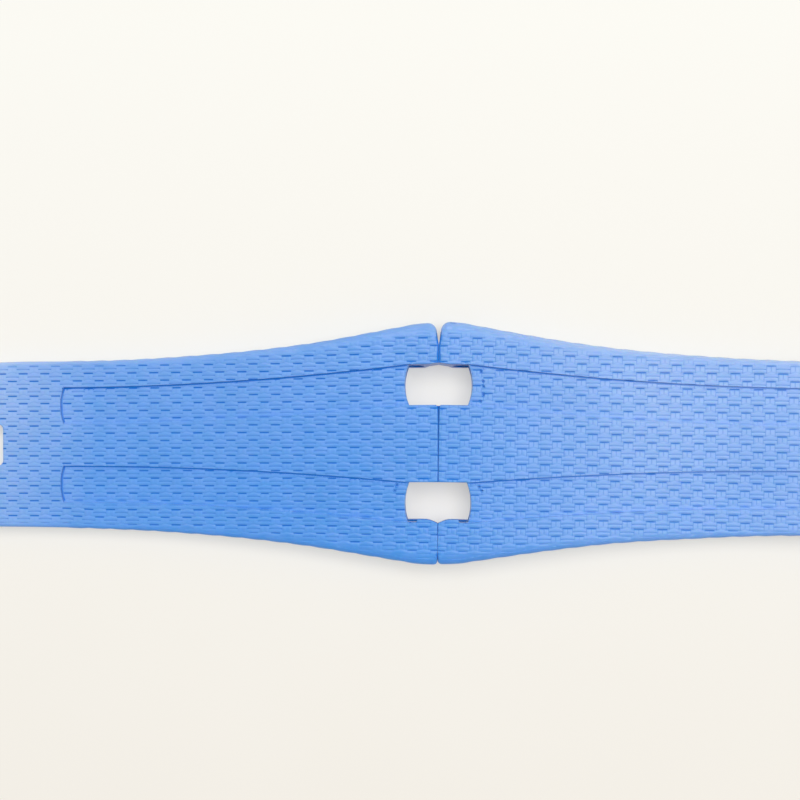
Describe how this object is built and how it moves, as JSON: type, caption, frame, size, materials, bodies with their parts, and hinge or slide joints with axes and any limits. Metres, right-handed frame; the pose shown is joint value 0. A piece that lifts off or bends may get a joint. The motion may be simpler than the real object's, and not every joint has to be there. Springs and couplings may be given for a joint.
{
  "type": "rubber watch strap",
  "caption": "Two-piece moulded rubber watch strap with a flared, notched case end, woven-look outer face, adjustment slots, two keepers and a pin buckle.",
  "frame": {"origin": "middle of the long half's case pin bore", "axes": "+X along the laid-out strap from the tail towards the buckle, +Y across it, +Z towards the outer face"},
  "size_m": [0.2089, 0.028, 0.0092],
  "materials": {
    "strap_rubber": "matte, basket-weave relief",
    "keeper_rubber": "matte",
    "buckle_steel": "brushed with polished edges",
    "sleeve_steel": "turned",
    "bar_steel": "turned",
    "spring_steel": "drawn wire"
  },
  "bodies": {
    "long_half": {"strap_long": "strap_rubber", "long_sleeve_left": "sleeve_steel", "long_sleeve_middle": "sleeve_steel", "long_sleeve_right": "sleeve_steel"},
    "short_half": {"strap_short": "strap_rubber", "short_sleeve_left": "sleeve_steel", "short_sleeve_middle": "sleeve_steel", "short_sleeve_right": "sleeve_steel", "fixed_keeper": "keeper_rubber", "bar_barrel": "bar_steel", "bar_spring": "spring_steel"},
    "keeper_loop": {"free_keeper": "keeper_rubber"},
    "buckle": {"buckle_frame": "buckle_steel"},
    "tang": {"buckle_tang": "buckle_steel"},
    "plunger_left": {"bar_plunger_left": "bar_steel"},
    "plunger_right": {"bar_plunger_right": "bar_steel"}
  },
  "joints": [
    {"name": "case_gap", "type": "slide", "parent": "long_half", "child": "short_half", "axis": [1, 0, 0], "range_m": [0, 0.045]},
    {"name": "keeper_slide", "type": "slide", "parent": "short_half", "child": "keeper_loop", "axis": [0.9998, -0.0182, 0], "range_m": [-0.0066, 0.0027]},
    {"name": "buckle_hinge", "type": "hinge", "parent": "short_half", "child": "buckle", "pos_m": [0.08103, -0.00142, 0.00067], "axis": [-0.0182, -0.9998, 0], "range_deg": [-95, 40]},
    {"name": "tang_hinge", "type": "hinge", "parent": "buckle", "child": "tang", "pos_m": [0.08103, -0.00142, 0.00067], "axis": [-0.0182, -0.9998, 0], "range_deg": [0, 80]},
    {"name": "plunger_left_press", "type": "slide", "parent": "short_half", "child": "plunger_left", "axis": [-0.0182, -0.9998, 0], "range_m": [0, 0.0011], "stiffness_N_per_m": 300, "springref_m": -0.001, "deforming": ["bar_spring"]},
    {"name": "plunger_right_press", "type": "slide", "parent": "short_half", "child": "plunger_right", "axis": [0.0182, 0.9998, 0], "range_m": [0, 0.0011], "stiffness_N_per_m": 300, "springref_m": -0.001, "deforming": ["bar_spring"]}
  ]
}
